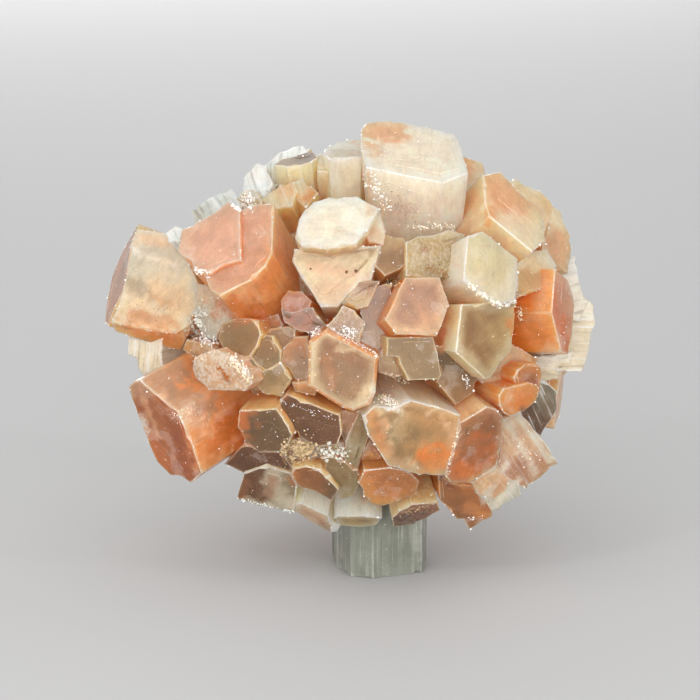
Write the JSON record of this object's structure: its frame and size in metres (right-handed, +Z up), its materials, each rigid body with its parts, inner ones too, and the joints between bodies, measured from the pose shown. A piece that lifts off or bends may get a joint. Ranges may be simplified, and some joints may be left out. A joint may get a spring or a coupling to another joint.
{
  "type": "aragonite crystal cluster",
  "caption": "Rounded cluster of intergrown six-sided aragonite crystals, standing on the flat end of its lowest crystal.",
  "frame": {"origin": "middle of the flat end of the lowest crystal, which the cluster rests on", "axes": "+Z up from the rest face, +X across the widest extent, -Y towards the front with the largest crystals"},
  "size_m": [0.0696, 0.0562, 0.0641],
  "materials": {
    "aragonite": "vitreous to frosted crystal faces, peach, cream and olive-grey, slightly see-through"
  },
  "bodies": {
    "root": {"aragonite_cluster": "aragonite"}
  },
  "joints": []
}
